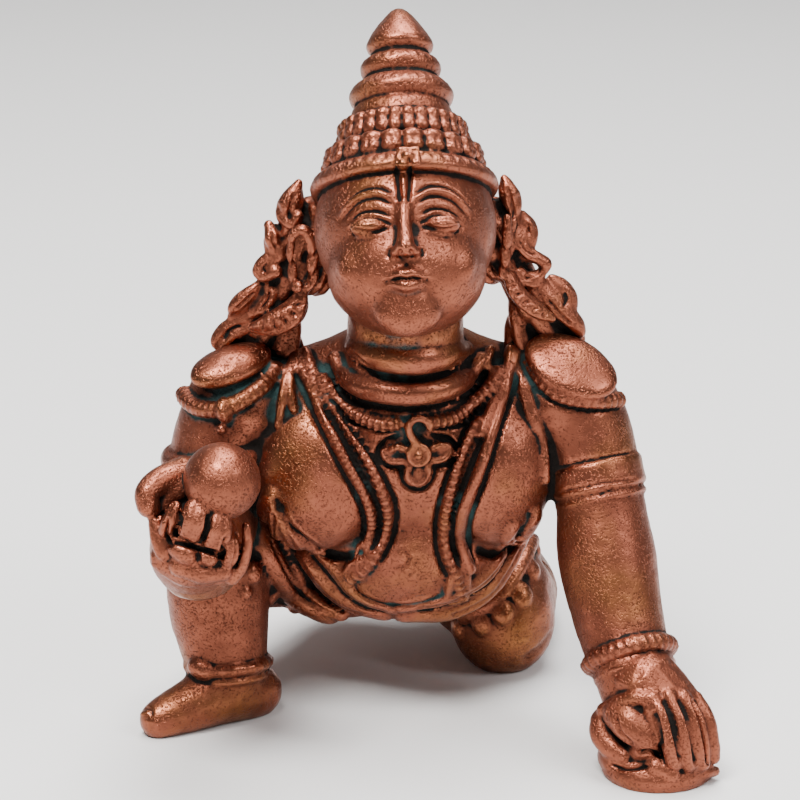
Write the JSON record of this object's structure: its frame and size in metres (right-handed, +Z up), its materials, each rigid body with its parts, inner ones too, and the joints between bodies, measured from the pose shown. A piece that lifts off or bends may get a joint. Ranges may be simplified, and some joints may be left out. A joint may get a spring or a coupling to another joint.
{
  "type": "figurine",
  "caption": "Small copper figure of a crawling child with a tiered crown, one hand and knee on the ground, the other hand raised with a ball; one solid casting",
  "frame": {"origin": "on the ground, under the middle of the figure's bounding box", "axes": "+Z up, the figure faces -Y, its left hand is on the +X side"},
  "size_m": [0.06, 0.0686, 0.075],
  "materials": {
    "copper": "cast copper, rubbed bright on the high forms and left dark in the recesses"
  },
  "bodies": {
    "root": {"laddu_gopal": "copper"}
  },
  "joints": []
}
